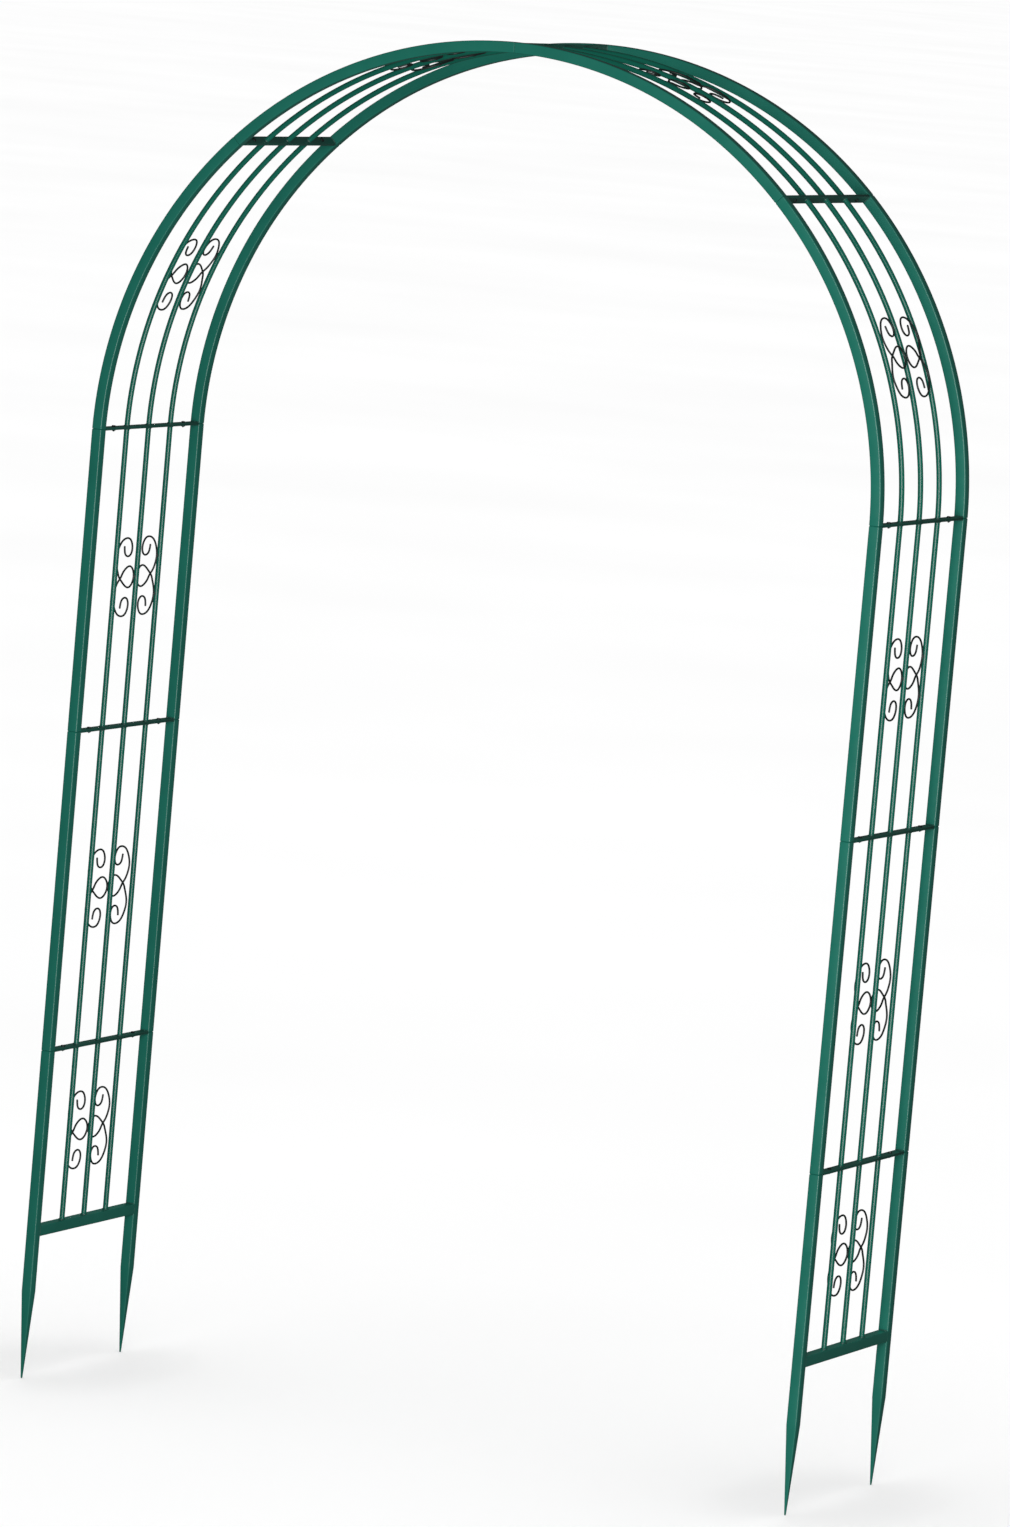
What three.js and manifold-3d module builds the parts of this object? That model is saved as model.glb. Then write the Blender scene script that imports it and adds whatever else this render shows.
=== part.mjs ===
// Garden trellis arch of ten welded steel panels, bolted end to end.
//
// Frame: millimetres, +Z up. X runs across the walkway, Y along it, and the origin lies on the
// middle of the arch at the level of the spike tips. The ten panels run up the leg at -X, over
// the top and down the leg at +X. The arch is 1590 wide, 410 deep and 2575 high with its spikes,
// of which 270 go into the soil.
import * as THREE from 'three';
import { mergeVertices } from 'three/addons/utils/BufferGeometryUtils.js';
import Module from 'manifold-3d';

const wasm = await Module();
wasm.setup();

// ---- Driving dimensions -------------------------------------------------------------------

const TUBE = 20;              // side of the square posts and of the bottom crossbar
const ROD = 10;               // diameter of the round rods
const WIRE = 3.6;             // diameter of the scroll wires
const GAP = 0.3;              // free space between neighbouring pieces

const ARCH_RADIUS = 785;      // post centre line, and half the span of the legs
const ARCH_CENTRE_Z = 1780;   // height of the centre of the half circle
const POST_SPACING = 390;     // between the centre lines of a panel's two posts
const ROD_PITCH = 86;         // between the centre lines of neighbouring rods

const SPIKE_TAPER = 165;      // length of the pointed end of a post
const SPIKE_TIP = 2.5;        // side of the blunt tip
const SOIL_Z = 270;           // underside of the bottom crossbar
const LOW_JOINT_Z = 622;      // joints between the panels of a leg
const MID_JOINT_Z = 1223;
const SPRING_JOINT_Z = 1788;  // joint between the leg and the arch
const HIP_ANGLE = 46;         // degrees above the horizontal, joint halfway up the arch

const STRIP_WIDTH = 18;       // flat strips that close the ends of a panel
const STRIP_THICKNESS = 2.5;

const BOLT = 4;               // thread diameter of the joint bolts
const BOLT_LENGTH = 9;        // under the head
const HEX_ACROSS_FLATS = 7;
const HEAD_HEIGHT = 2.5;
const NUT_HEIGHT = 2.2;

const LOW_SCROLL_Z = 455;     // heights of the scroll centres on the legs
const MID_SCROLL_Z = 915.5;
const TOP_SCROLL_Z = 1504.5;
const LOW_SCROLL_ANGLE = 22.3;  // and their angles on the arch
const HIGH_SCROLL_ANGLE = 71.4;
const TOP_SET_BACK = 2.5;     // the top leg scroll lies this much to -X of the rods' centre lines
const ARCH_SET_OUT = 4.6;     // and the lower arch scroll this much outside them
const BOW_REACH = 80.6;       // furthest that a scroll wire reaches from the middle rod
const WELD = 2;               // diameter of the weld bead at the middle rod
const WELD_REACH = 6;         // half the length of a bead that runs along the rod

const ARC_STEPS = 8;          // facets along a curved post or rod
const ROD_SIDES = 8;
const WIRE_SIDES = 4;
const SCROLL_STEPS = 20;      // facets along each half of a wire
const BOLT_SIDES = 8;
const WELD_STEPS = 6;

const POST_Y = POST_SPACING / 2;
const INNER_FACE_Y = POST_Y - TUBE / 2;
const BOLT_Y = (ROD_PITCH + ROD / 2 + INNER_FACE_Y) / 2;
const ROD_YS = [-ROD_PITCH, 0, ROD_PITCH];
const BITE = 1;               // how far welded members run into each other
const CLEARANCE = 0.35;       // round a bolt, in the strips and in the nut
const RAD = Math.PI / 180;
const SPRING_ANGLE = Math.asin((SPRING_JOINT_Z - ARCH_CENTRE_Z) / ARCH_RADIUS) / RAD;

// ---- The line that the panels follow -------------------------------------------------------

// A place on a leg: side is -1 at -X and +1 at +X. `out` points away from the walkway and
// `up` along the posts, towards the top of the arch.
function legPlace(side, z) {
  return {
    centre: new THREE.Vector3(side * ARCH_RADIUS, 0, z),
    out: new THREE.Vector3(side, 0, 0),
    up: new THREE.Vector3(0, 0, 1),
  };
}

// A place on the half circle, at `degrees` above the horizontal on the given side.
function archPlace(side, degrees) {
  const c = Math.cos(degrees * RAD);
  const s = Math.sin(degrees * RAD);
  return {
    centre: new THREE.Vector3(side * ARCH_RADIUS * c, 0, ARCH_CENTRE_Z + ARCH_RADIUS * s),
    out: new THREE.Vector3(side * c, 0, s),
    up: new THREE.Vector3(-side * s, 0, c),
  };
}

// Turns local (out, y, up) coordinates at a place into the part's own.
function placeMatrix(place) {
  const y = new THREE.Vector3(0, 1, 0);
  const matrix = new THREE.Matrix4();
  if (place.out.clone().cross(y).dot(place.up) > 0) {
    matrix.makeBasis(place.out, y, place.up);
  } else {
    matrix.makeBasis(place.out.clone().negate(), y, place.up);
  }
  return matrix.setPosition(place.centre);
}

// An arc of the half circle at depth y, between two angles above the horizontal on one side.
class ArchArc extends THREE.Curve {
  constructor(side, y, from, to) {
    super();
    this.side = side;
    this.y = y;
    this.from = from;
    this.to = to;
  }

  getPoint(t, target = new THREE.Vector3()) {
    const { centre } = archPlace(this.side, this.from + (this.to - this.from) * t);
    return target.set(centre.x, this.y, centre.z);
  }
}

// ---- Solids --------------------------------------------------------------------------------

function solid(geometry) {
  const bare = geometry.clone();
  for (const name of ['normal', 'uv']) bare.deleteAttribute(name);
  const merged = mergeVertices(bare, 1e-4);
  return new wasm.Manifold(new wasm.Mesh({
    numProp: 3,
    vertProperties: new Float32Array(merged.attributes.position.array),
    triVerts: new Uint32Array(merged.index.array),
  }));
}

function join(solids) {
  return solids.reduce((whole, next) => whole.add(next));
}

function geometryOf(manifold) {
  const mesh = manifold.getMesh();
  const geometry = new THREE.BufferGeometry();
  geometry.setAttribute('position', new THREE.BufferAttribute(mesh.vertProperties, 3));
  geometry.setIndex(new THREE.BufferAttribute(mesh.triVerts, 1));
  geometry.computeVertexNormals();
  return geometry;
}

function box(width, depth, height, x, y, z) {
  return new THREE.BoxGeometry(width, depth, height).translate(x, y, z);
}

// A prism or cylinder along Z, with a flat of the polygon facing +X when `flat` is true.
function column(radius, sides, height, z, flat = false) {
  const shape = new THREE.CylinderGeometry(radius, radius, height, sides, 1);
  shape.rotateX(Math.PI / 2);
  if (flat) shape.rotateZ(Math.PI / sides);
  return shape.translate(0, 0, z);
}

function squareSection(size) {
  const h = size / 2;
  return new THREE.Shape([[-h, -h], [h, -h], [h, h], [-h, h]].map((p) => new THREE.Vector2(...p)));
}

function roundSection(diameter, sides) {
  const points = [];
  for (let i = 0; i < sides; i++) {
    const angle = (2 * Math.PI * i) / sides;
    points.push(new THREE.Vector2(Math.cos(angle), Math.sin(angle)).multiplyScalar(diameter / 2));
  }
  return new THREE.Shape(points);
}

function along(path, section, steps) {
  return new THREE.ExtrudeGeometry(section, { extrudePath: path, steps });
}

// ---- Panels --------------------------------------------------------------------------------

// The strip that closes a panel's end, on the `inward` side of the joint plane (+1 or -1
// along `up`), with its two bolt holes.
function endStrip(place, inward) {
  const middle = inward * (GAP / 2 + STRIP_THICKNESS / 2);
  const length = 2 * (INNER_FACE_Y + BITE);
  let strip = solid(box(STRIP_WIDTH, length, STRIP_THICKNESS, 0, 0, middle));
  for (const y of [-BOLT_Y, BOLT_Y]) {
    const hole = column(BOLT / 2 + CLEARANCE, BOLT_SIDES, TUBE, 0, true);
    strip = strip.subtract(solid(hole.translate(0, y, 0)));
  }
  return strip.transform(placeMatrix(place).elements);
}

function legMembers(side, bottom, top) {
  const x = side * ARCH_RADIUS;
  const height = top - bottom;
  const z = (top + bottom) / 2;
  const posts = [-POST_Y, POST_Y].map((y) => solid(box(TUBE, TUBE, height, x, y, z)));
  const rodHeight = height - 2 * BITE;
  const rods = ROD_YS.map((y) => solid(column(ROD / 2, ROD_SIDES, rodHeight, z).translate(x, y, 0)));
  return [...posts, ...rods];
}

function legPanel(side, bottom, top) {
  const low = bottom + GAP / 2;
  const high = top - GAP / 2;
  return join([
    ...legMembers(side, low, high),
    endStrip(legPlace(side, bottom), 1),
    endStrip(legPlace(side, top), -1),
  ]);
}

// A foot panel has a square crossbar instead of its lower strip, and its posts run on below
// it as square pointed spikes.
function footPanel(side) {
  const x = side * ARCH_RADIUS;
  const barTop = SOIL_Z + TUBE;
  const crossbar = solid(box(TUBE, 2 * (INNER_FACE_Y + BITE), TUBE, x, 0, SOIL_Z + TUBE / 2));
  const spikes = [-POST_Y, POST_Y].flatMap((y) => {
    const shank = box(TUBE, TUBE, barTop - SPIKE_TAPER, x, y, (barTop + SPIKE_TAPER) / 2);
    const point = new THREE.CylinderGeometry(
      TUBE / Math.SQRT2, SPIKE_TIP / Math.SQRT2, SPIKE_TAPER, 4, 1,
    );
    point.rotateX(Math.PI / 2).rotateZ(Math.PI / 4).translate(x, y, SPIKE_TAPER / 2);
    return [solid(shank), solid(point)];
  });
  return join([
    ...legMembers(side, barTop - BITE, LOW_JOINT_Z - GAP / 2),
    crossbar,
    ...spikes,
    endStrip(legPlace(side, LOW_JOINT_Z), -1),
  ]);
}

function archPanel(side, from, to) {
  const trim = GAP / 2 / ARCH_RADIUS / RAD;
  const arc = (y) => new ArchArc(side, y, from + trim, to - trim);
  const rodTrim = trim + BITE / ARCH_RADIUS / RAD;
  const rodArc = (y) => new ArchArc(side, y, from + rodTrim, to - rodTrim);
  const posts = [-POST_Y, POST_Y].map((y) => solid(along(arc(y), squareSection(TUBE), ARC_STEPS)));
  const rodSection = roundSection(ROD, ROD_SIDES);
  const rods = ROD_YS.map((y) => solid(along(rodArc(y), rodSection, ARC_STEPS)));
  return join([
    ...posts,
    ...rods,
    endStrip(archPlace(side, from), 1),
    endStrip(archPlace(side, to), -1),
  ]);
}

// ---- Scrolls -------------------------------------------------------------------------------

// The lower half of one scroll wire, as distances from the middle rod and heights above the
// scroll's centre: over the top of the small middle loop, through the crossing, down the outer
// bow beside the side rod, and round the spiral to the wire's end. The upper half is the same
// upside down.
const LOOP_TOP = [24, 20];
const CROSSING = [60.5, 0];
const BOW_START = [74, -17];
const BOW_HEIGHT = 36;        // of the place where the bow comes closest to the side rod
const BOW_END = [74, -55];
const SPIRAL = [[62, -68], [46, -73.5], [29, -70], [20, -55], [24, -43], [35, -39], [46.5, -44],
  [51, -58]];

const CONTACT = (ROD + WIRE) / 2 + GAP;   // between the centre lines of a wire and its rod

// A whole scroll wire as a smooth curve. `place` turns (across, up) into a point in space.
// Wires at the full set-back lie behind the middle rod, side by side.
function scrollCurve(hand, setBack, place) {
  const beside = Math.sqrt(CONTACT ** 2 - setBack ** 2);
  const near = Math.max(beside, WIRE / 2);
  const bow = [BOW_START, [Math.min(BOW_REACH, ROD_PITCH - beside), -BOW_HEIGHT], BOW_END];
  const lower = [LOOP_TOP, CROSSING, ...bow, ...SPIRAL];
  const upper = lower.map(([across, up]) => [across, -up]).reverse();
  const points = [...upper, [near, 0], ...lower];
  return new THREE.CatmullRomCurve3(points.map(([across, up]) => place(hand * across, up)));
}

// A stretch of another curve.
class Stretch extends THREE.Curve {
  constructor(whole, from, to) {
    super();
    this.whole = whole;
    this.from = from;
    this.to = to;
  }

  getPoint(t, target = new THREE.Vector3()) {
    return this.whole.getPoint(this.from + (this.to - this.from) * t, target);
  }

  // Steps follow the curve's own points, which lie closest together in the spirals.
  getUtoTmapping(u) {
    return u;
  }
}

// The weld bead between the two wires: round the back of the middle rod where they stand on
// either side of it, and along the rod where they lie behind it.
function weldPath(setBack, back, place) {
  if (setBack === CONTACT) {
    return new THREE.LineCurve3(...[-WELD_REACH, WELD_REACH].map((up) => place(0, up, back * setBack)));
  }
  const start = Math.asin(setBack / CONTACT);
  const points = [];
  for (let i = 0; i <= WELD_STEPS; i++) {
    const angle = start + ((Math.PI - 2 * start) * i) / WELD_STEPS;
    points.push(place(CONTACT * Math.cos(angle), 0, back * CONTACT * Math.sin(angle)));
  }
  return new THREE.CatmullRomCurve3(points);
}

// Two mirrored wires, welded to each other and to the middle rod. `back` is the side that
// they are set back to, in the direction of `out`.
function scroll(setBack, back, place) {
  const section = roundSection(WIRE, WIRE_SIDES);
  const overlap = 0.002;      // of the curve, where the two halves of a wire meet
  const wires = [-1, 1].flatMap((hand) => {
    const curve = scrollCurve(hand, setBack, (across, up) => place(across, up, back * setBack));
    const halves = [new Stretch(curve, 0, 0.5 + overlap), new Stretch(curve, 0.5 - overlap, 1)];
    return halves.map((half) => solid(along(half, section, SCROLL_STEPS)));
  });
  const bead = along(weldPath(setBack, back, place), roundSection(WELD, WELD_STEPS), WELD_STEPS);
  return join([...wires, solid(bead)]);
}

function legScroll(side, z, setBack) {
  return scroll(setBack, -side, (across, up, out) => (
    new THREE.Vector3(side * (ARCH_RADIUS + out), across, z + up)
  ));
}

function archScroll(side, degrees, setOut) {
  return scroll(setOut, 1, (across, up, out) => {
    const at = archPlace(side, degrees + up / ARCH_RADIUS / RAD);
    const point = at.centre.addScaledVector(at.out, out);
    return point.setY(across);
  });
}

// ---- Fasteners -----------------------------------------------------------------------------

const SEAT = GAP / 2 + STRIP_THICKNESS + GAP;   // a head or nut face, from the joint plane

function bolt() {
  const head = column(HEX_ACROSS_FLATS / Math.sqrt(3), 6, HEAD_HEIGHT, SEAT + HEAD_HEIGHT / 2);
  const shankLength = BOLT_LENGTH + BITE;
  const shank = column(BOLT / 2, BOLT_SIDES, shankLength, SEAT + BITE - shankLength / 2, true);
  return solid(head).add(solid(shank));
}

function nut() {
  const hex = column(HEX_ACROSS_FLATS / Math.sqrt(3), 6, NUT_HEIGHT, -SEAT - NUT_HEIGHT / 2);
  const bore = column(BOLT / 2 + CLEARANCE, BOLT_SIDES, 4 * NUT_HEIGHT, -SEAT, true);
  return solid(hex).subtract(solid(bore));
}

// ---- Assembly ------------------------------------------------------------------------------

function coated(name, color, roughness, metalness) {
  return new THREE.MeshStandardMaterial({ name, color, roughness, metalness });
}

const arch = new THREE.Group();

function add(name, manifold, material) {
  const mesh = new THREE.Mesh(geometryOf(manifold), material);
  mesh.name = name;
  arch.add(mesh);
}

const SIDES = { left: -1, right: 1 };

for (const [sideName, side] of Object.entries(SIDES)) {
  const panels = {
    foot_panel: footPanel(side),
    lower_leg_panel: legPanel(side, LOW_JOINT_Z, MID_JOINT_Z),
    upper_leg_panel: legPanel(side, MID_JOINT_Z, SPRING_JOINT_Z),
    lower_arch_panel: archPanel(side, SPRING_ANGLE, HIP_ANGLE),
    upper_arch_panel: archPanel(side, HIP_ANGLE, 90),
  };
  const scrolls = {
    foot_panel: legScroll(side, LOW_SCROLL_Z, CONTACT),
    lower_leg_panel: legScroll(side, MID_SCROLL_Z, CONTACT),
    upper_leg_panel: legScroll(side, TOP_SCROLL_Z, TOP_SET_BACK),
    lower_arch_panel: archScroll(side, LOW_SCROLL_ANGLE, ARCH_SET_OUT),
    upper_arch_panel: archScroll(side, HIGH_SCROLL_ANGLE, 0),
  };
  for (const [name, frame] of Object.entries(panels)) {
    add(`${name}_${sideName}`, frame, coated('green_paint', 0x1f6b57, 0.45, 0.1));
    add(`${name}_${sideName}_scroll`, scrolls[name], coated('scroll_paint', 0x30393a, 0.5, 0.2));
  }
}

const joints = { apex_joint: archPlace(1, 90) };
for (const [sideName, side] of Object.entries(SIDES)) {
  joints[`low_joint_${sideName}`] = legPlace(side, LOW_JOINT_Z);
  joints[`mid_joint_${sideName}`] = legPlace(side, MID_JOINT_Z);
  joints[`spring_joint_${sideName}`] = legPlace(side, SPRING_JOINT_Z);
  joints[`hip_joint_${sideName}`] = archPlace(side, HIP_ANGLE);
}

for (const [jointName, place] of Object.entries(joints)) {
  for (const [row, y] of [['front', -BOLT_Y], ['rear', BOLT_Y]]) {
    const matrix = placeMatrix(place).multiply(new THREE.Matrix4().makeTranslation(0, y, 0));
    const black = () => coated('black_fasteners', 0x23292a, 0.5, 0.6);
    add(`${jointName}_${row}_bolt`, bolt().transform(matrix.elements), black());
    add(`${jointName}_${row}_nut`, nut().transform(matrix.elements), black());
  }
}

export default arch;
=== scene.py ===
"""Looks of the garden trellis arch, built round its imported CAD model.

Lengths below are millimetres, as in the CAD source; make() turns them into metres. X runs across
the walkway, Y along it and Z up. Every CAD node is replaced: the ten welded frames by hollow
rounded tubes, round rods, flat end strips and weld beads, the ten scrolls by smooth round wires
that pass over themselves, and the bolts and nuts by chamfered, threaded ones.
"""

import math

import bmesh
import bpy
import numpy as np
from mathutils import Matrix, Vector
from mathutils.geometry import tessellate_polygon


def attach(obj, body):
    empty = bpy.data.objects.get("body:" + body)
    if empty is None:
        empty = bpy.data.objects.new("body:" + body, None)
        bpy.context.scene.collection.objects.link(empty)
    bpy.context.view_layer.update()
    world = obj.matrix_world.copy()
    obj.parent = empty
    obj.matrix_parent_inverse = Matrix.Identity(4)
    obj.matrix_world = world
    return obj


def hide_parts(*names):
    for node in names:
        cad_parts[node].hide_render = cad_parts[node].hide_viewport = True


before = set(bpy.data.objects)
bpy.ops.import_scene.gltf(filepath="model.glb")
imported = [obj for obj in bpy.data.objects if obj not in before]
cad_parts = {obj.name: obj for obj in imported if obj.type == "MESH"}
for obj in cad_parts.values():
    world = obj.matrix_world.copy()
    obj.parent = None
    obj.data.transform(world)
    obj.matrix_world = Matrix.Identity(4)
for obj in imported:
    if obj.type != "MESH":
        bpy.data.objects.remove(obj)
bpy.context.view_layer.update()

# ---- Driving dimensions, as in the CAD source ----------------------------------------------

TUBE = 20.0
ROD = 10.0
WIRE = 3.6
GAP = 0.3

ARCH_RADIUS = 785.0
ARCH_CENTRE_Z = 1780.0
POST_Y = 195.0
ROD_PITCH = 86.0

SPIKE_TAPER = 165.0
SPIKE_TIP = 2.5
SOIL_Z = 270.0
LOW_JOINT_Z = 622.0
MID_JOINT_Z = 1223.0
SPRING_JOINT_Z = 1788.0
HIP_ANGLE = 46.0

STRIP_WIDTH = 18.0
STRIP_THICKNESS = 2.5

BOLT = 4.0
BOLT_LENGTH = 9.0
HEX_ACROSS_FLATS = 7.0
HEAD_HEIGHT = 2.5
NUT_HEIGHT = 2.2

LOW_SCROLL_Z = 455.0
MID_SCROLL_Z = 915.5
TOP_SCROLL_Z = 1504.5
LOW_SCROLL_ANGLE = 22.3
HIGH_SCROLL_ANGLE = 71.4
TOP_SET_BACK = 2.5
ARCH_SET_OUT = 4.6
BOW_REACH = 80.6
CROSSING = (60.5, 0)

# ---- Details that only the looks have ------------------------------------------------------

CORNER = 2.2            # outer corner radius of the square tubes
WALL = 1.5              # their wall
MOUTH = 1.1             # chamfer round the mouth of a post, which shows as the seam at a joint
SHOULDER = 6.0          # straight length between a spike's taper and the row above it
STRIP_EDGE = 0.45       # chamfer round an end strip
STRIP_CORNER = 1.0      # corner radius of an end strip, seen from above
THREAD_PITCH = 0.7
THREAD_DEPTH = 0.3
THREAD_LENGTH = 4.0
THREAD_ROWS = 29
SHANK_SLACK = 0.1       # the plain shank is this much slimmer in radius than the thread
BORE = 2.25             # radius of the bolt holes in strips and nuts
SEAT_GAP = 0.08         # between a strip and the head or nut on it
ROD_BEAD = 1.5          # radius of the weld bead round a rod's end
STRIP_BEAD = 1.7        # and of the one along a strip's or crossbar's end
WIRE_BEAD = 1.3         # and of the tack between a wire and a rod
TACK_REACH = 3.2        # half the length of a tack
TACK_APART = 1.1        # half the distance between the two tacks at one place
WIRE_BITE = 0.1         # how far a wire sinks into a rod, or into itself, where they touch
LIFT_SPREAD = 11.0      # how gradually a wire rises to pass over itself

CORNER_STEPS = 5
ARC_STEPS = 56          # rings along an arch panel
ROD_SIDES = 24
WIRE_SIDES = 14
BEAD_SIDES = 10
RING_STEPS = 44         # rows along a bead round a rod
LINE_STEPS = 28         # rows along a straight bead
TACK_STEPS = 15
HOLE_SIDES = 26
BOLT_SIDES = 24
HEX_STEPS = 10          # columns along each side of a hexagon
SCROLL_STEPS = 14       # rows between two given points of a wire

INNER_Y = POST_Y - TUBE / 2
BOLT_Y = (ROD_PITCH + ROD / 2 + INNER_Y) / 2
ROD_YS = (-ROD_PITCH, 0.0, ROD_PITCH)
SEAT = GAP / 2 + STRIP_THICKNESS
SPRING_ANGLE = math.degrees(math.asin((SPRING_JOINT_Z - ARCH_CENTRE_Z) / ARCH_RADIUS))
SIDES = {"left": -1.0, "right": 1.0}


# ---- Places on the line that the panels follow ---------------------------------------------


def leg_place(side, z):
    return (
        np.array([side * ARCH_RADIUS, 0, z]),
        np.array([side, 0, 0]),
        np.array([0, 0, 1.0]),
    )


def arch_place(side, degrees):
    c, s = math.cos(math.radians(degrees)), math.sin(math.radians(degrees))
    return (
        np.array([side * ARCH_RADIUS * c, 0, ARCH_CENTRE_Z + ARCH_RADIUS * s]),
        np.array([side * c, 0, s]),
        np.array([-side * s, 0, c]),
    )


def at(place, points):
    """Local (out, y, up) points at a place, in the part's own coordinates."""
    centre, out, up = place
    p = np.asarray(points, float)
    return centre + p[..., :1] * out + p[..., 1:2] * np.array([0, 1.0, 0]) + p[..., 2:3] * up


# ---- Shells: (points, faces) ---------------------------------------------------------------


def skin(rows, closed=False):
    """A closed shell through rows of points that each go once round it."""
    rows = np.asarray(rows, float)
    count, width = rows.shape[:2]
    faces = []
    for i in range(count if closed else count - 1):
        a, b = i * width, (i + 1) % count * width
        for j in range(width):
            k = (j + 1) % width
            faces.append((a + j, a + k, b + k, b + j))
    if not closed:
        faces.append(tuple(range(width)))
        faces.append(tuple(range((count - 1) * width, count * width)))
    return rows.reshape(-1, 3), faces


def rounded_square(half, radius):
    """Points round a square section with rounded corners."""
    points = []
    for quarter in range(4):
        start = quarter * math.pi / 2
        turn = np.array([math.cos(start), math.sin(start)])
        side = np.array([-turn[1], turn[0]])
        centre = (half - radius) * (turn + side)
        for i in range(CORNER_STEPS + 1):
            a = start + i / CORNER_STEPS * math.pi / 2
            points.append(centre + radius * np.array([math.cos(a), math.sin(a)]))
    return np.array(points)


def circle(radius, sides):
    a = np.arange(sides) * 2 * math.pi / sides
    return np.stack([radius * np.cos(a), radius * np.sin(a)], 1)


def placed(section, place, y, z=0.0):
    """A section square to the panels' line, at depth y."""
    local = np.column_stack([section[:, 0], section[:, 1] + y, np.full(len(section), z)])
    return at(place, local)


def tube(places, y):
    """A hollow square tube with chamfered mouths, along the places."""
    outer = rounded_square(TUBE / 2, CORNER)
    mouth = rounded_square(TUBE / 2 - MOUTH, CORNER - MOUTH)
    inner = rounded_square(TUBE / 2 - WALL, CORNER - WALL)
    rows = [placed(inner, places[0], y), placed(mouth, places[0], y)]
    rows.append(placed(outer, places[0], y, MOUTH))
    rows += [placed(outer, p, y) for p in places[1:-1]]
    rows.append(placed(outer, places[-1], y, -MOUTH))
    rows += [placed(mouth, places[-1], y), placed(inner, places[-1], y)]
    rows += [placed(inner, p, y) for p in reversed(places[1:-1])]
    return skin(rows, closed=True)


def spiked_post(side, y, top):
    """The post of a foot panel: hollow above, and drawn out to a square point below."""
    outer = rounded_square(TUBE / 2, CORNER)
    mouth = rounded_square(TUBE / 2 - MOUTH, CORNER - MOUTH)
    inner = rounded_square(TUBE / 2 - WALL, CORNER - WALL)
    low = leg_place(side, SPIKE_TAPER + TUBE)
    rows = [placed(inner, low, y), placed(inner, leg_place(side, top), y)]
    rows.append(placed(mouth, leg_place(side, top), y))
    rows.append(placed(outer, leg_place(side, top - MOUTH), y))
    for z in (SOIL_Z, SPIKE_TAPER + SHOULDER, SPIKE_TAPER):
        rows.append(placed(outer, leg_place(side, z), y))
    tip = SPIKE_TIP / 2
    for share in (0.02, 0.25, 0.5, 0.75, 0.985, 1.0):
        half = TUBE / 2 + (tip - TUBE / 2) * share
        half -= 0.25 * (share == 1.0)  # the blunt end's own small chamfer
        section = rounded_square(half, CORNER * half / (TUBE / 2))
        z = SPIKE_TAPER * (1 - share)
        rows.append(placed(section, leg_place(side, z), y))
    return skin(rows)


def rod(places, y):
    section = circle(ROD / 2, ROD_SIDES)
    return skin([placed(section, p, y) for p in places])


def bead(path, radius, normal_hint, seed, closed=False, ripple=1.3):
    """A weld bead along a path: round in section, with the ripples of the run."""
    path = np.asarray(path, float)
    if closed:
        tangent = np.roll(path, -1, 0) - np.roll(path, 1, 0)
        length = np.linalg.norm(path - np.roll(path, 1, 0), axis=1).cumsum()
    else:
        tangent = np.gradient(path, axis=0)
        length = np.concatenate([[0], np.linalg.norm(np.diff(path, axis=0), axis=1).cumsum()])
    tangent /= np.linalg.norm(tangent, axis=1)[:, None]
    side = np.cross(tangent, normal_hint)
    side /= np.linalg.norm(side, axis=1)[:, None]
    rise = np.cross(side, tangent)
    total = length[-1]
    turns = max(1, round(total / ripple)) * 2 * math.pi
    wave = np.abs(np.sin(turns / 2 * length / total + seed))
    swell = 0.06 * np.sin(2 * math.pi * 2 * length / total + 2.1 * seed)
    size = radius * (0.9 + 0.14 * wave + swell)
    if not closed:
        near_end = np.minimum(length, total - length) / radius
        size *= np.sqrt(np.clip(1 - (1 - np.clip(near_end, 0.02, 1)) ** 2, 0, 1))
    a = np.arange(BEAD_SIDES) * 2 * math.pi / BEAD_SIDES
    rows = (
        path[:, None]
        + size[:, None, None] * np.cos(a)[None, :, None] * side[:, None]
        + size[:, None, None] * np.sin(a)[None, :, None] * rise[:, None]
    )
    return skin(rows, closed)


def ring_bead(place, y, z, seed):
    """The bead round a rod where it stands on a strip or crossbar."""
    a = np.arange(RING_STEPS) * 2 * math.pi / RING_STEPS
    wander = ROD / 2 + 0.15 + 0.2 * np.sin(3 * a + seed)
    local = np.column_stack([wander * np.cos(a), y + wander * np.sin(a), np.full(RING_STEPS, z)])
    return bead(at(place, local), ROD_BEAD, place[2], seed, closed=True)


def line_bead(place, start, end, radius, seed):
    """A straight bead between two local points."""
    t = np.linspace(0, 1, LINE_STEPS)[:, None]
    path = at(place, np.array(start) * (1 - t) + np.array(end) * t)
    along = path[-1] - path[0]
    hint = np.array([0, 1.0, 0]) if abs(along[1]) < 1 else place[2]
    return bead(path, radius, hint, seed)


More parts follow.
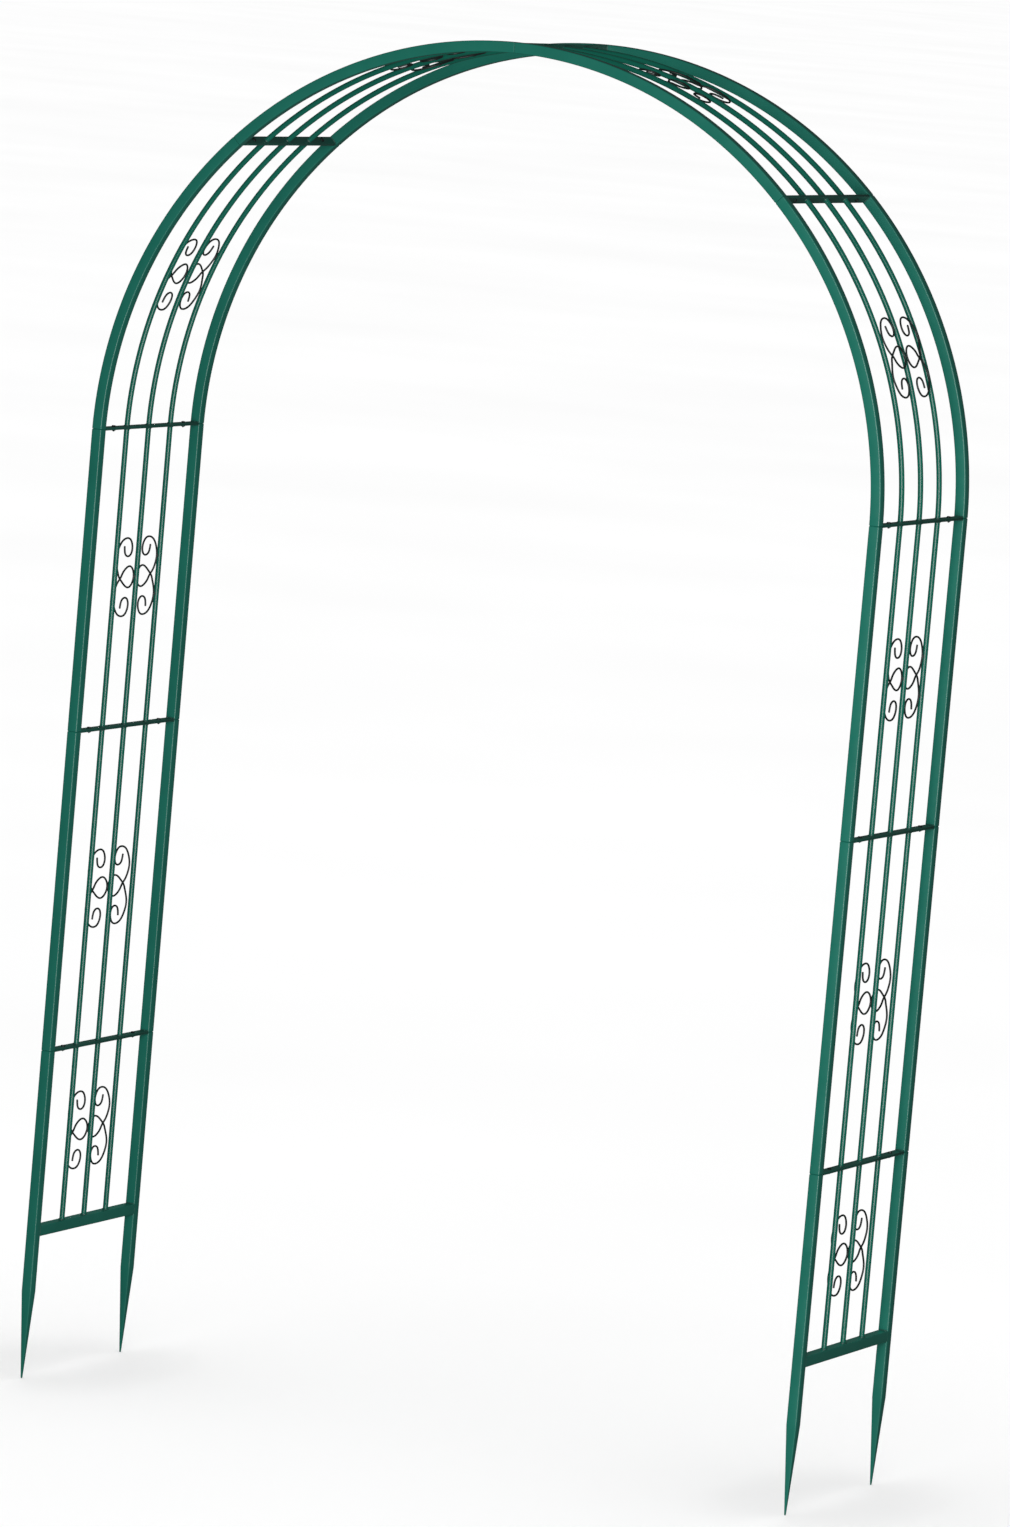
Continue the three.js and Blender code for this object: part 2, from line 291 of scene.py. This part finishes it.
def plate(place, middle):
    """An end strip: rounded edges and corners, with its two bolt holes right through."""
    half_x, half_y, half_z = STRIP_WIDTH / 2, INNER_Y + 1, STRIP_THICKNESS / 2
    loops = []
    for inset in (STRIP_EDGE, 0.0):
        loop = []
        for sx, sy, a0 in ((1, 1, 0), (-1, 1, 90), (-1, -1, 180), (1, -1, 270)):
            for i in range(4):
                a = math.radians(a0 + i * 30)
                loop.append(
                    (
                        sx * (half_x - STRIP_CORNER) + (STRIP_CORNER - inset) * math.cos(a),
                        sy * (half_y - STRIP_CORNER) + (STRIP_CORNER - inset) * math.sin(a),
                    )
                )
        loops.append(np.array(loop))
    holes = [
        circle(BORE + flare, HOLE_SIDES) + (0, y)
        for flare in (STRIP_EDGE / 2, 0)
        for y in (-BOLT_Y, BOLT_Y)
    ]
    flat = [loops[0], holes[0], holes[1]]
    tessellated = tessellate_polygon([[Vector((*p, 0)) for p in loop] for loop in flat])
    flat_points = np.concatenate(flat)
    rim_points = np.concatenate([loops[1], holes[2], holes[3]])
    count = len(flat_points)
    points, faces = [], []
    for z, dz in ((half_z, -STRIP_EDGE), (-half_z, STRIP_EDGE)):
        points.append(np.column_stack([flat_points, np.full(count, z)]))
        points.append(np.column_stack([rim_points, np.full(count, z + dz)]))
    for base in (0, 2 * count):
        faces += [tuple(base + i for i in t) for t in tessellated]
    start = 0
    for loop in flat:
        n = len(loop)
        for i in range(n):
            a, b = start + i, start + (i + 1) % n
            faces.append((a, b, count + b, count + a))
            faces.append((count + a, count + b, 3 * count + b, 3 * count + a))
            faces.append((3 * count + a, 3 * count + b, 2 * count + b, 2 * count + a))
        start += n
    local = np.concatenate(points) + (0, 0, middle)
    return at(place, local), faces


def crossbar(side):
    """The square tube that stops the spikes at the soil."""
    section = rounded_square(TUBE / 2, CORNER)
    rows = []
    for y in (-INNER_Y - 1, -INNER_Y / 2, 0.0, INNER_Y / 2, INNER_Y + 1):
        local = np.column_stack([section[:, 0], np.full(len(section), y), section[:, 1]])
        rows.append(at(leg_place(side, SOIL_Z + TUBE / 2), local))
    return skin(rows)


# ---- Scroll wires --------------------------------------------------------------------------

# (across, up) along the lower half of a wire, from the middle rod outwards; None is the bow
SCROLL_LOWER = [
    (24, 20), CROSSING, (74, -17), None, (74, -55), (62, -68), (46, -73.5), (29, -70),
    (20, -55), (24, -43), (35, -39), (46.5, -44), (51, -58),
]
BOW_HEIGHT = 36.0
CONTACT = (ROD + WIRE) / 2 - WIRE_BITE  # between the centre lines of a wire and its rod


def spline(points, per_span):
    """A smooth curve through the points, with an even bend: a natural cubic in chord length."""
    p = np.asarray(points, float)
    h = np.sqrt(np.linalg.norm(np.diff(p, axis=0), axis=1))
    t = np.concatenate([[0], h.cumsum()])
    n = len(p)
    a = np.zeros((n, n))
    rhs = np.zeros((n, p.shape[1]))
    a[0, 0] = a[-1, -1] = 1
    for i in range(1, n - 1):
        a[i, i - 1], a[i, i], a[i, i + 1] = h[i - 1], 2 * (h[i - 1] + h[i]), h[i]
        rhs[i] = 6 * ((p[i + 1] - p[i]) / h[i] - (p[i] - p[i - 1]) / h[i - 1])
    m = np.linalg.solve(a, rhs)
    found = []
    for i in range(n - 1):
        last = i == n - 2
        u = np.linspace(0, 1, per_span + last, endpoint=last)[:, None] * h[i]
        c1 = (p[i + 1] - p[i]) / h[i] - h[i] * (2 * m[i] + m[i + 1]) / 6
        found.append(p[i] + c1 * u + m[i] / 2 * u**2 + (m[i + 1] - m[i]) / (6 * h[i]) * u**3)
    return np.concatenate(found)


def scroll_line(set_back):
    """(across, up, over) along one wire. `over` lifts it past itself where it crosses."""
    beside = math.sqrt(CONTACT**2 - set_back**2)
    near = max(beside, WIRE / 2)
    bow = (min(BOW_REACH, ROD_PITCH - beside), -BOW_HEIGHT)
    lower = [p or bow for p in SCROLL_LOWER]
    upper = [(x, -z) for x, z in lower][::-1]
    line = spline([*upper, (near, 0), *lower], SCROLL_STEPS)
    gap = np.linalg.norm(line - CROSSING, axis=1)
    first = np.arange(len(line)) < len(line) / 2
    lift = (WIRE / 2 - WIRE_BITE) * np.exp(-((gap / LIFT_SPREAD) ** 2)) * np.where(first, 1, -1)
    lift *= np.abs(np.arange(len(line)) / len(line) - 0.5) > 0.04
    return np.column_stack([line, lift])


def wire(points):
    """A round wire along points, with rounded ends."""
    points = np.asarray(points, float)
    tangent = np.gradient(points, axis=0)
    tangent /= np.linalg.norm(tangent, axis=1)[:, None]
    side = np.cross(tangent[0], (0.31, 0.52, 0.79))
    sides = []
    for t in tangent:
        side = side - t * (side @ t)
        side = side / np.linalg.norm(side)
        sides.append(side)
    sides = np.array(sides)
    rise = np.cross(tangent, sides)
    radius = WIRE / 2
    a = np.arange(WIRE_SIDES) * 2 * math.pi / WIRE_SIDES
    around = np.cos(a)[None, :, None] * sides[:, None] + np.sin(a)[None, :, None] * rise[:, None]
    rows = list(points[:, None] + radius * around)
    for end, way in ((0, -1), (-1, 1)):
        for push, size in ((0.5, 0.87), (0.87, 0.5), (0.98, 0.2)):
            centre = points[end] + way * push * radius * tangent[end] * 0.6
            row = centre + size * radius * around[end]
            rows.insert(0, row) if way < 0 else rows.append(row)
    return skin(rows)


def tack(place_at, across, up, back, seed):
    """A short bead along a rod, between it and a wire."""
    steps = np.linspace(-TACK_REACH, TACK_REACH, TACK_STEPS)
    path = [place_at(across, up + step, back) for step in steps]
    return bead(path, WIRE_BEAD, (0.3, 0.9, 0.1), seed, ripple=2.0)


def scroll(set_back, place_at):
    """Two mirrored wires and the tacks that hold them to the rods.

    place_at turns (across, up, back) into a point, where back is away from the rods' plane.
    """
    line = scroll_line(set_back)
    share = ROD / (ROD + WIRE)
    beside = math.sqrt(CONTACT**2 - set_back**2)
    shells = []
    for hand in (-1, 1):
        shells.append(wire([place_at(hand * x, z, set_back + lift) for x, z, lift in line]))
        if set_back == CONTACT:
            tacks = [(hand * WIRE * 0.45, 0.0)]
            set_on = share * set_back + 0.4
        else:
            tacks = [(hand * beside * share, 0.0)]
            tacks += [(hand * (ROD_PITCH - beside * share), z) for z in (BOW_HEIGHT, -BOW_HEIGHT)]
            set_on = share * set_back
        for seed, (across, up) in enumerate(tacks):
            for off in (TACK_APART, -TACK_APART):
                shells.append(tack(place_at, across, up, set_on + off, seed + off))
    return shells


def leg_scroll(side, z, set_back):
    def place_at(across, up, back):
        return np.array([side * ARCH_RADIUS - back, across, z + up])

    return scroll(set_back, place_at)


def arch_scroll(side, degrees, set_out):
    def place_at(across, up, out):
        here = arch_place(side, degrees + math.degrees(up / ARCH_RADIUS))
        return at(here, [out, across, 0])

    return scroll(set_out, place_at)


# ---- Fasteners -----------------------------------------------------------------------------


def hexagon():
    """Angles round a hexagonal part and its radius at each."""
    a = np.arange(6 * HEX_STEPS) * 2 * math.pi / (6 * HEX_STEPS)
    apart = (a + math.pi / 6) % (math.pi / 3) - math.pi / 6
    return a, HEX_ACROSS_FLATS / 2 / np.cos(math.pi / 6 - np.abs(apart))


def round_row(angles, radius, z):
    radius = np.broadcast_to(radius, angles.shape)
    z = np.broadcast_to(z, angles.shape)
    return np.column_stack([radius * np.cos(angles), radius * np.sin(angles), z])


def bolt_shells():
    """A hexagon head, hollowed on top, and a shank with a cut thread at its end."""
    a, r = hexagon()
    crown = HEX_ACROSS_FLATS / 2 * 0.94
    cut = (r - crown) * math.tan(math.radians(30))
    top = SEAT + HEAD_HEIGHT
    head = skin(
        [
            round_row(a, crown, SEAT + SEAT_GAP),
            round_row(a, r - 0.15, SEAT + 0.3),
            round_row(a, r, SEAT + 0.5),
            round_row(a, r, top - cut - 0.15),
            round_row(a, crown + 0.1, top - 0.1),
            round_row(a, crown - 0.25, top),
            round_row(a, crown * 0.55, top - 0.12),
            round_row(a, crown * 0.45, top - 0.3),
        ]
    )
    b = np.arange(BOLT_SIDES) * 2 * math.pi / BOLT_SIDES
    end = SEAT - BOLT_LENGTH
    rows = []
    for z in np.linspace(end, end + THREAD_LENGTH, THREAD_ROWS):
        phase = (z / THREAD_PITCH - b / (2 * math.pi)) % 1
        depth = THREAD_DEPTH * np.abs(2 * phase - 1)
        taper = max(0.0, 0.6 - (z - end))
        rows.append(round_row(b, BOLT / 2 - depth - taper, z))
    shank = BOLT / 2 - SHANK_SLACK
    rows.append(round_row(b, shank, end + THREAD_LENGTH + 0.3))
    rows.append(round_row(b, shank, SEAT + 1))
    return [head, skin(rows)]


def nut_shells():
    """A bored hexagon nut, countersunk on both faces."""
    a, r = hexagon()
    crown = HEX_ACROSS_FLATS / 2 * 0.95
    cut = (r - crown) * math.tan(math.radians(30))
    top, low = -SEAT - SEAT_GAP, -SEAT - NUT_HEIGHT
    sink = 0.4
    rows = [
        round_row(a, BORE, top - sink),
        round_row(a, BORE + sink, top),
        round_row(a, crown, top),
        round_row(a, r, top - cut),
        round_row(a, r, low + cut),
        round_row(a, crown, low),
        round_row(a, BORE + sink, low),
        round_row(a, BORE, low + sink),
    ]
    return [skin(rows, closed=True)]


def turned(shells, place, y, degrees):
    """A fastener's shells turned about its own axis and put at a place."""
    c, s = math.cos(math.radians(degrees)), math.sin(math.radians(degrees))
    turn = np.array([[c, -s, 0], [s, c, 0], [0, 0, 1]])
    return [(at(place, points @ turn.T + (0, y, 0)), faces) for points, faces in shells]


# ---- Materials -----------------------------------------------------------------------------


class Nodes:
    """Short calls for building a material's node tree."""

    def __init__(self, name):
        self.material = bpy.data.materials.new(name)
        self.material.use_nodes = True
        self.tree = self.material.node_tree
        self.tree.nodes.clear()
        self.shader = self.add("ShaderNodeBsdfPrincipled")
        output = self.add("ShaderNodeOutputMaterial")
        self.link(self.shader.outputs[0], output.inputs[0])
        self.place = self.add("ShaderNodeTexCoord").outputs["Object"]

    def add(self, kind, **settings):
        node = self.tree.nodes.new(kind)
        for key, value in settings.items():
            setattr(node, key, value)
        return node

    def link(self, a, b):
        self.tree.links.new(a, b)

    def noise(self, scale, detail=2.0, rough=0.5):
        node = self.add("ShaderNodeTexNoise")
        self.link(self.place, node.inputs["Vector"])
        node.inputs["Scale"].default_value = scale
        node.inputs["Detail"].default_value = detail
        node.inputs["Roughness"].default_value = rough
        return node.outputs["Fac"]

    def remap(self, value, low, high, from_low=0.3, from_high=0.7):
        node = self.add("ShaderNodeMapRange")
        self.link(value, node.inputs["Value"])
        node.inputs["From Min"].default_value = from_low
        node.inputs["From Max"].default_value = from_high
        node.inputs["To Min"].default_value = low
        node.inputs["To Max"].default_value = high
        return node.outputs["Result"]

    def mix(self, factor, a, b):
        node = self.add("ShaderNodeMix", data_type="RGBA")
        for socket, value in ((node.inputs[0], factor), (node.inputs[6], a), (node.inputs[7], b)):
            if isinstance(value, bpy.types.NodeSocket):
                self.link(value, socket)
            else:
                socket.default_value = value
        return node.outputs[2]

    def bump(self, height, strength, distance, under=None):
        node = self.add("ShaderNodeBump")
        self.link(height, node.inputs["Height"])
        node.inputs["Strength"].default_value = strength
        node.inputs["Distance"].default_value = distance
        if under is not None:
            self.link(under, node.inputs["Normal"])
        return node.outputs["Normal"]

    def edges(self, radius):
        """1 along sharp and rounded edges and 0 on flat faces."""
        bevel = self.add("ShaderNodeBevel", samples=4)
        bevel.inputs["Radius"].default_value = radius
        flat = self.add("ShaderNodeNewGeometry").outputs["Normal"]
        dot = self.add("ShaderNodeVectorMath", operation="DOT_PRODUCT")
        self.link(bevel.outputs[0], dot.inputs[0])
        self.link(flat, dot.inputs[1])
        return self.remap(dot.outputs["Value"], 1.0, 0.0, 0.75, 0.99)


def coat(name, dark, light, rough, peel, specular=0.5):
    """Sprayed paint on steel: uneven film, orange peel, and a thinner, duller film on edges."""
    n = Nodes(name)
    n.shader.inputs["Specular IOR Level"].default_value = specular
    film = n.mix(n.remap(n.noise(9.0, 4.0, 0.6), 0.0, 1.0), dark, light)
    specks = n.remap(n.noise(620.0, 2.0), 0.0, 0.35, 0.56, 0.74)
    worn = [c * 1.6 + 0.004 for c in light[:3]] + [1.0]
    edge = n.add("ShaderNodeMath", operation="MULTIPLY")
    n.link(n.edges(0.0012), edge.inputs[0])
    n.link(n.remap(n.noise(130.0, 3.0, 0.7), 0.0, 0.55, 0.35, 0.65), edge.inputs[1])
    film = n.mix(specks, film, [c * 0.72 for c in light[:3]] + [1.0])
    film = n.mix(edge.outputs[0], film, worn)
    n.link(film, n.shader.inputs["Base Color"])
    n.link(n.remap(n.noise(55.0, 5.0, 0.65), *rough), n.shader.inputs["Roughness"])
    waves = n.bump(n.noise(70.0, 2.0), 0.10, 0.0006)
    n.link(n.bump(n.noise(950.0, 1.0), peel, 0.00012, waves), n.shader.inputs["Normal"])
    n.shader.inputs["IOR"].default_value = 1.5
    return n.material


def blackened(name):
    """Blackened steel fasteners: mottled dark metal with rubbed edges."""
    n = Nodes(name)
    tone = n.remap(n.noise(420.0, 4.0, 0.7), 0.0, 1.0)
    body = n.mix(tone, (0.020, 0.026, 0.026, 1), (0.045, 0.055, 0.053, 1))
    edge = n.add("ShaderNodeMath", operation="MULTIPLY")
    n.link(n.edges(0.0005), edge.inputs[0])
    n.link(n.remap(n.noise(900.0, 3.0), 0.1, 0.8), edge.inputs[1])
    n.link(n.mix(edge.outputs[0], body, (0.16, 0.17, 0.165, 1)), n.shader.inputs["Base Color"])
    n.link(n.remap(n.noise(700.0, 3.0), 0.34, 0.56), n.shader.inputs["Roughness"])
    n.link(n.bump(n.noise(1400.0, 2.0), 0.25, 0.0001), n.shader.inputs["Normal"])
    n.shader.inputs["Metallic"].default_value = 0.85
    return n.material


GREEN = coat(
    "green_paint",
    dark=(0.0085, 0.128, 0.092, 1),
    light=(0.0115, 0.150, 0.108, 1),
    rough=(0.27, 0.35),
    peel=0.22,
)
# Painted shade: the rods' green is darker than the posts' to stand in for the shade on their
# round sides; their lower roughness and specular are their own glossier finish.
SHADED_ROD_GREEN = coat(
    "green_paint_rods_painted_shade",
    dark=(0.005, 0.106, 0.072, 1),
    light=(0.0065, 0.119, 0.081, 1),
    rough=(0.14, 0.20),
    peel=0.15,
    specular=0.42,
)
# Painted shade: the frames' green paint made darker for the end strips and weld beads, to stand
# in for the shade they lie in between panels and at the joints.
SHADED_STRIP_GREEN = coat(
    "green_paint_strips_painted_shade",
    dark=(0.010, 0.070, 0.052, 1),
    light=(0.014, 0.090, 0.066, 1),
    rough=(0.35, 0.50),
    peel=0.30,
)
BLACK = coat(
    "scroll_paint",
    dark=(0.006, 0.012, 0.0105, 1),
    light=(0.010, 0.017, 0.015, 1),
    rough=(0.42, 0.58),
    peel=0.18,
)
DARK_STEEL = blackened("black_fasteners")


# ---- Pieces --------------------------------------------------------------------------------


def make(name, shells, material, node, sharp=32.0):
    """One mesh piece from closed shells, riding on the arch in place of a CAD node."""
    points, faces = [], []
    for shell_points, shell_faces in shells:
        base = sum(len(p) for p in points)
        points.append(shell_points)
        faces += [tuple(base + i for i in f) for f in shell_faces]
    mesh = bpy.data.meshes.new(name)
    mesh.from_pydata((np.concatenate(points) / 1000).tolist(), [], faces)
    bm = bmesh.new()
    bm.from_mesh(mesh)
    bmesh.ops.recalc_face_normals(bm, faces=bm.faces)
    bm.to_mesh(mesh)
    bm.free()
    mesh.polygons.foreach_set("use_smooth", [True] * len(mesh.polygons))
    mesh.set_sharp_from_angle(angle=math.radians(sharp))
    mesh.materials.append(material)
    piece = bpy.data.objects.new(name, mesh)
    bpy.context.scene.collection.objects.link(piece)
    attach(piece, "root")
    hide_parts(node)


def frame_pieces(node, places, posts, foot=None):
    """The posts, rods and end strips of a welded frame, and its weld beads to be added to.

    places run from its lower end to its upper one. foot is where the rods of a foot panel
    start, since it has a crossbar and no lower strip.
    """
    low, high = places[0], places[-1]
    seed = sum(map(ord, node)) % 17
    shorter = [at_offset(low, 2.0), *places[1:-1], at_offset(high, -2.0)]
    make(f"{node}_posts", posts, GREEN, node)
    if foot is None:
        rods = [rod(shorter, y) for y in ROD_YS]
        strips = [plate(low, GAP / 2 + STRIP_THICKNESS / 2)]
        ends = [(low, SEAT)]
    else:
        rods = [rod([foot, *shorter[1:]], y) for y in ROD_YS]
        strips = []
        ends = []
    strips.append(plate(high, -GAP / 2 - STRIP_THICKNESS / 2))
    ends.append((high, -SEAT))
    make(f"{node}_rods", rods, SHADED_ROD_GREEN, node)
    make(f"{node}_end_strips", strips, SHADED_STRIP_GREEN, node)
    welds = []
    for place, z in ends:
        for y in ROD_YS:
            welds.append(ring_bead(place, y, z, seed + y))
        for way in (-1, 1):
            start = (-STRIP_WIDTH / 2, way * INNER_Y, z)
            end = (STRIP_WIDTH / 2, way * INNER_Y, z)
            welds.append(line_bead(place, start, end, STRIP_BEAD, seed + way))
    return welds, seed


def at_offset(place, distance):
    centre, out, up = place
    return centre + up * distance, out, up


def leg_panel(node, side, bottom, top):
    steps = np.linspace(bottom + GAP / 2, top - GAP / 2, 7)
    places = [leg_place(side, z) for z in steps]
    joints = [leg_place(side, bottom), *places[1:-1], leg_place(side, top)]
    posts = [tube(places, y) for y in (-POST_Y, POST_Y)]
    welds, _ = frame_pieces(node, joints, posts)
    make(f"{node}_welds", welds, SHADED_STRIP_GREEN, node)


def foot_panel(node, side):
    bar_top = SOIL_Z + TUBE
    steps = np.linspace(bar_top, LOW_JOINT_Z, 5)
    places = [leg_place(side, z) for z in steps]
    top = LOW_JOINT_Z - GAP / 2
    posts = [spiked_post(side, y, top) for y in (-POST_Y, POST_Y)]
    welds, seed = frame_pieces(node, places, posts, foot=leg_place(side, bar_top - 2))
    make(f"{node}_crossbar", [crossbar(side)], GREEN, node)
    here = leg_place(side, SOIL_Z)
    for y in ROD_YS:
        welds.append(ring_bead(here, y, TUBE, seed + y))
    reach = TUBE / 2 - 1.5
    for way in (-1, 1):
        y = way * INNER_Y
        for z in (0, TUBE):
            welds.append(line_bead(here, (-reach, y, z), (reach, y, z), STRIP_BEAD, seed + z))
        for x in (-TUBE / 2 + 1.2, TUBE / 2 - 1.2):
            edge = way * (INNER_Y + 1.2)
            start, end = (x, edge, 0.5), (x, edge, TUBE - 0.5)
            welds.append(line_bead(here, start, end, STRIP_BEAD, seed + x))
    make(f"{node}_welds", welds, SHADED_STRIP_GREEN, node)


def arch_panel(node, side, start, end):
    trim = math.degrees(GAP / 2 / ARCH_RADIUS)
    places = [arch_place(side, d) for d in np.linspace(start + trim, end - trim, ARC_STEPS + 1)]
    joints = [arch_place(side, start), *places[1:-1], arch_place(side, end)]
    posts = [tube(places, y) for y in (-POST_Y, POST_Y)]
    welds, _ = frame_pieces(node, joints, posts)
    make(f"{node}_welds", welds, SHADED_STRIP_GREEN, node)


def scroll_piece(node, shells):
    make(f"{node}_wires", shells, BLACK, node, sharp=50.0)


for side_name, side in SIDES.items():
    foot_panel(f"foot_panel_{side_name}", side)
    leg_panel(f"lower_leg_panel_{side_name}", side, LOW_JOINT_Z, MID_JOINT_Z)
    leg_panel(f"upper_leg_panel_{side_name}", side, MID_JOINT_Z, SPRING_JOINT_Z)
    arch_panel(f"lower_arch_panel_{side_name}", side, SPRING_ANGLE, HIP_ANGLE)
    arch_panel(f"upper_arch_panel_{side_name}", side, HIP_ANGLE, 90.0)
    scrolls = {
        "foot": leg_scroll(side, LOW_SCROLL_Z, CONTACT),
        "lower_leg": leg_scroll(side, MID_SCROLL_Z, CONTACT),
        "upper_leg": leg_scroll(side, TOP_SCROLL_Z, TOP_SET_BACK),
        "lower_arch": arch_scroll(side, LOW_SCROLL_ANGLE, ARCH_SET_OUT),
        "upper_arch": arch_scroll(side, HIGH_SCROLL_ANGLE, 0.0),
    }
    for panel, shells in scrolls.items():
        scroll_piece(f"{panel}_panel_{side_name}_scroll", shells)

joints = {"apex_joint": arch_place(1.0, 90.0)}
for side_name, side in SIDES.items():
    joints[f"low_joint_{side_name}"] = leg_place(side, LOW_JOINT_Z)
    joints[f"mid_joint_{side_name}"] = leg_place(side, MID_JOINT_Z)
    joints[f"spring_joint_{side_name}"] = leg_place(side, SPRING_JOINT_Z)
    joints[f"hip_joint_{side_name}"] = arch_place(side, HIP_ANGLE)

bolt_shape, nut_shape = bolt_shells(), nut_shells()
for index, (joint, place) in enumerate(joints.items()):
    for row, y in (("front", -BOLT_Y), ("rear", BOLT_Y)):
        node = f"{joint}_{row}"
        angle = (index * 37 + (y > 0) * 23) % 60  # each was left where its spanner stopped
        bolt = turned(bolt_shape, place, y, angle)
        nut = turned(nut_shape, place, y, angle + 17)
        make(f"{node}_hex_bolt", bolt, DARK_STEEL, f"{node}_bolt")
        make(f"{node}_hex_nut", nut, DARK_STEEL, f"{node}_nut")


# ---- Floor, light and camera ---------------------------------------------------------------

scene = bpy.context.scene
scene.view_settings.view_transform = "Standard"
scene.view_settings.look = "None"


def studio_floor():
    size, steps = 400.0, 20
    ticks = np.linspace(-size, size, steps + 1)
    points = [(x, y, 0) for y in ticks for x in ticks]
    width = steps + 1
    faces = [
        (j * width + i, j * width + i + 1, (j + 1) * width + i + 1, (j + 1) * width + i)
        for j in range(steps)
        for i in range(steps)
    ]
    mesh = bpy.data.meshes.new("studio_floor")
    mesh.from_pydata(points, [], faces)
    n = Nodes("pale_floor")
    tone = n.mix(n.remap(n.noise(0.4, 2.0), 0, 1), (0.90, 0.90, 0.90, 1), (0.93, 0.93, 0.93, 1))
    n.link(tone, n.shader.inputs["Base Color"])
    n.shader.inputs["Roughness"].default_value = 0.9
    n.shader.inputs["Specular IOR Level"].default_value = 0.1
    mesh.materials.append(n.material)
    floor = bpy.data.objects.new("studio_floor", mesh)
    scene.collection.objects.link(floor)
    floor.visible_diffuse = False
    floor.visible_glossy = False
    floor.visible_shadow = False
    return floor


def only(name, objects):
    """A collection that a lamp can be limited to."""
    chosen = bpy.data.collections.new(name)
    for obj in objects:
        chosen.objects.link(obj)
    return chosen


arch_only = only("arch_only", [o for o in scene.objects if o.type == "MESH"])
floor_only = only("floor_only", [studio_floor()])


def lamp(name, kind, energy, location, receivers, target=(0, 0, 1.3), glossy=True, **settings):
    data = bpy.data.lights.new(name, kind)
    data.energy = energy
    for key, value in settings.items():
        setattr(data, key, value)
    obj = bpy.data.objects.new(name, data)
    obj.location = location
    aim = Vector(target) - Vector(location)
    obj.rotation_euler = aim.to_track_quat("-Z", "Y").to_euler()
    obj.visible_camera = False
    obj.visible_glossy = glossy
    obj.light_linking.receiver_collection = receivers
    scene.collection.objects.link(obj)


def around(azimuth, distance, height):
    """A point round the arch, at an azimuth in degrees from its front."""
    a = math.radians(azimuth)
    return (math.sin(a) * distance, -math.cos(a) * distance, height)


LAMP_DISTANCE = 5.6
KEY_HEIGHT = 1.9
lamp(
    "key",
    "AREA",
    energy=405.0,
    location=around(28.5, LAMP_DISTANCE, KEY_HEIGHT),
    receivers=arch_only,
    target=(0, 0, KEY_HEIGHT),
    shape="RECTANGLE",
    size=3.8,
    size_y=5.4,
)
lamp(
    "back",
    "AREA",
    energy=330.0,
    location=around(212, LAMP_DISTANCE, 3.0),
    receivers=arch_only,
    glossy=False,
    shape="DISK",
    size=1.6,
)
lamp(
    "floor_light",
    "SUN",
    energy=3.3,
    location=(0, 0, 8),
    receivers=floor_only,
    target=(0, 0, 0),
    angle=math.radians(70),
)

world = bpy.data.worlds.new("studio")
world.use_nodes = True
scene.world = world
tree = world.node_tree
tree.nodes.clear()
output = tree.nodes.new("ShaderNodeOutputWorld")
seen, lit = tree.nodes.new("ShaderNodeBackground"), tree.nodes.new("ShaderNodeBackground")
seen.inputs["Color"].default_value = (0.99, 0.99, 0.99, 1)
lit.inputs["Color"].default_value = (0.06, 0.06, 0.06, 1)
path, mixer = tree.nodes.new("ShaderNodeLightPath"), tree.nodes.new("ShaderNodeMixShader")
tree.links.new(path.outputs["Is Camera Ray"], mixer.inputs[0])
tree.links.new(lit.outputs[0], mixer.inputs[1])
tree.links.new(seen.outputs[0], mixer.inputs[2])
tree.links.new(mixer.outputs[0], output.inputs[0])

AZIMUTH, PITCH, ROLL = (math.radians(d) for d in (25.2183, 6.4326, 5.0008))
CAMERA_AT = Vector((6.65958, -14.12005, 3.01135))
SENSOR_WIDTH, LENS = 36.0, 201.476
forward = Vector(
    (
        -math.sin(AZIMUTH) * math.cos(PITCH),
        math.cos(AZIMUTH) * math.cos(PITCH),
        -math.sin(PITCH),
    )
)
level = Vector((math.cos(AZIMUTH), math.sin(AZIMUTH), 0))
upright = level.cross(forward)
right = level * math.cos(ROLL) + upright * math.sin(ROLL)
above = -level * math.sin(ROLL) + upright * math.cos(ROLL)
camera_data = bpy.data.cameras.new("camera")
camera_data.sensor_width = SENSOR_WIDTH
camera_data.lens = LENS
camera_data.clip_start, camera_data.clip_end = 0.1, 1000.0
camera = bpy.data.objects.new("camera", camera_data)
camera.matrix_world = Matrix(
    (
        (right.x, above.x, -forward.x, CAMERA_AT.x),
        (right.y, above.y, -forward.y, CAMERA_AT.y),
        (right.z, above.z, -forward.z, CAMERA_AT.z),
        (0, 0, 0, 1),
    )
)
scene.collection.objects.link(camera)
scene.camera = camera
